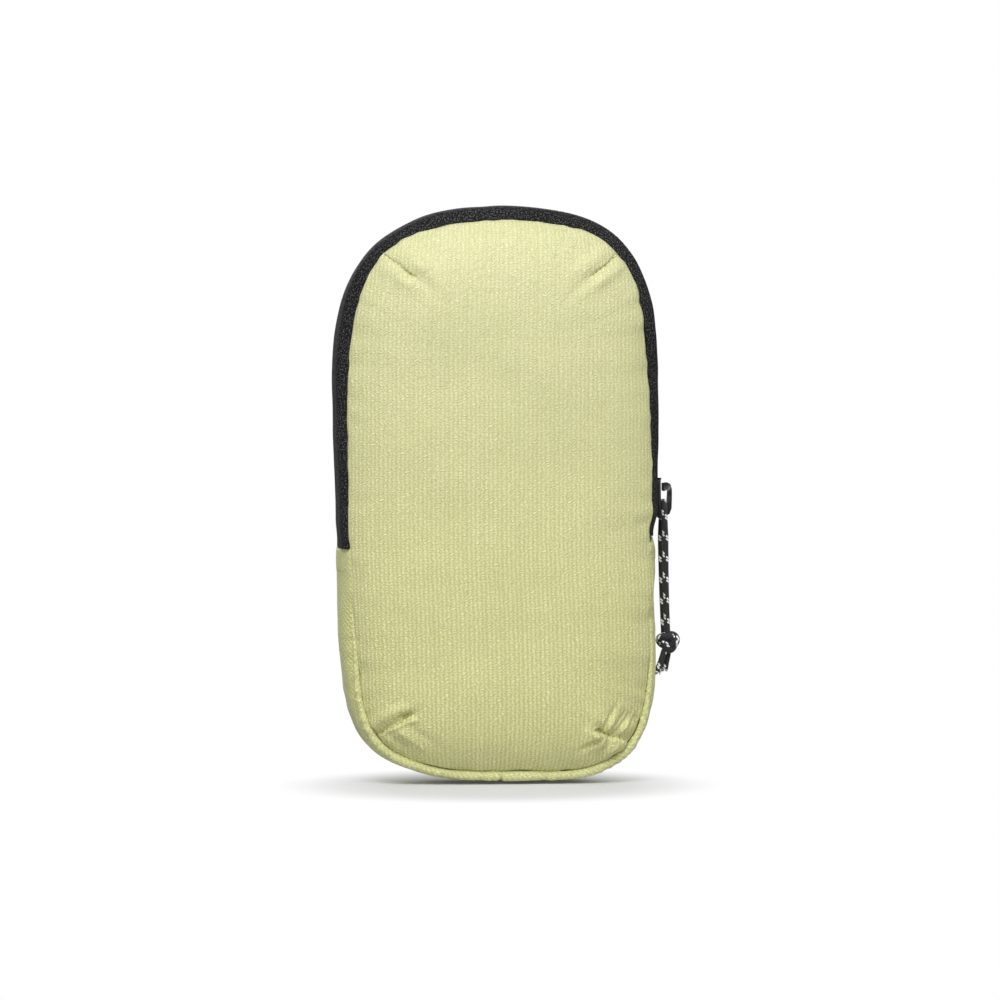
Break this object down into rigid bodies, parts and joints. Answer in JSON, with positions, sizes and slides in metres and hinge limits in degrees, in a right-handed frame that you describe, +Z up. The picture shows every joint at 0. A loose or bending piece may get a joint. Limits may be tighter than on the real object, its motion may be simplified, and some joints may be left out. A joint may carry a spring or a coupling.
{
  "type": "backpack strap pouch",
  "caption": "Slim rounded pouch with a padded back, a zip that runs over its top, a cord zip pull and two hook-and-loop straps that close round a backpack's shoulder strap",
  "frame": {"origin": "the middle of the back panel's outer face, which bears on the shoulder strap", "axes": "+Z up along the pouch's length, +Y out of the back towards the wearer, +X to the side that carries the zip pull"},
  "size_m": [0.1093, 0.0488, 0.1804],
  "materials": {
    "shell_cloth": "lime yellow fine ripstop nylon",
    "edging_cloth": "lime yellow puckered cord edging",
    "lining_cloth": "plain grey woven lining",
    "padding_foam": "closed-cell foam sheet",
    "zip_tape": "black woven zip tape",
    "zip_coil": "black nylon coil",
    "slider_metal": "black enamelled zinc",
    "webbing": "black woven webbing",
    "hook_and_loop": "black hook-and-loop tape",
    "cord": "black braided cord with pale flecks"
  },
  "bodies": {
    "pouch": {"back_panel_outer": "shell_cloth", "front_panel_lower": "shell_cloth", "front_panel_fold": "shell_cloth", "gusset": "shell_cloth", "piping_left": "edging_cloth", "piping_right": "edging_cloth", "back_lining": "lining_cloth", "back_seam_binding": "lining_cloth", "front_lining_lower": "lining_cloth", "front_lining_fold": "lining_cloth", "gusset_lining": "lining_cloth", "back_foam": "padding_foam", "zip_tape_back": "zip_tape", "zip_tape_front_left": "zip_tape", "zip_tape_front_right": "zip_tape", "zip_tape_fold_left": "zip_tape", "zip_tape_fold_right": "zip_tape", "zip_coil_back": "zip_coil", "zip_coil_front_left": "zip_coil", "zip_coil_front_right": "zip_coil", "zip_stop_left": "slider_metal", "zip_stop_right": "slider_metal", "strap_upper_base": "webbing", "strap_upper_anchor": "webbing", "strap_lower_base": "webbing", "strap_lower_anchor": "webbing", "strap_upper_loop_patch": "hook_and_loop", "strap_lower_loop_patch": "hook_and_loop", "strap_upper_base_tack": "cord", "strap_upper_anchor_tack": "cord", "strap_lower_base_tack": "cord", "strap_lower_anchor_tack": "cord"},
    "front_flap": {"front_panel_flap": "shell_cloth", "front_lining_flap": "lining_cloth", "zip_tape_front_flap": "zip_tape", "zip_coil_front_flap": "zip_coil"},
    "slider": {"zip_slider": "slider_metal"},
    "cord": {"pull_cord": "cord", "pull_cord_knot": "cord", "pull_cord_tail_front": "cord", "pull_cord_tail_rear": "cord"},
    "upper_flap": {"strap_upper_flap": "webbing", "strap_upper_hook_patch": "hook_and_loop"},
    "lower_flap": {"strap_lower_flap": "webbing", "strap_lower_hook_patch": "hook_and_loop"}
  },
  "joints": [
    {"name": "zip_slide", "type": "slide", "parent": "pouch", "child": "slider", "axis": [0, 0, 1], "range_m": [-0.006, 0.03]},
    {"name": "cord_swing", "type": "hinge", "parent": "slider", "child": "cord", "pos_m": [0.053, -0.01195, -0.0031], "axis": [0, -1, 0], "range_deg": [0, 100]},
    {"name": "front_flap_open", "type": "hinge", "parent": "pouch", "child": "front_flap", "pos_m": [0, -0.01195, 0.0065], "axis": [1, 0, 0], "range_deg": [0, 50], "deforming": ["front_panel_fold", "front_lining_fold", "zip_tape_fold_left", "zip_tape_fold_right"]},
    {"name": "strap_upper_open", "type": "hinge", "parent": "pouch", "child": "upper_flap", "pos_m": [0.045, 0.0073, 0.047], "axis": [0, 0, -1], "range_deg": [0, 150]},
    {"name": "strap_lower_open", "type": "hinge", "parent": "pouch", "child": "lower_flap", "pos_m": [0.045, 0.0073, -0.042], "axis": [0, 0, -1], "range_deg": [0, 150]}
  ]
}
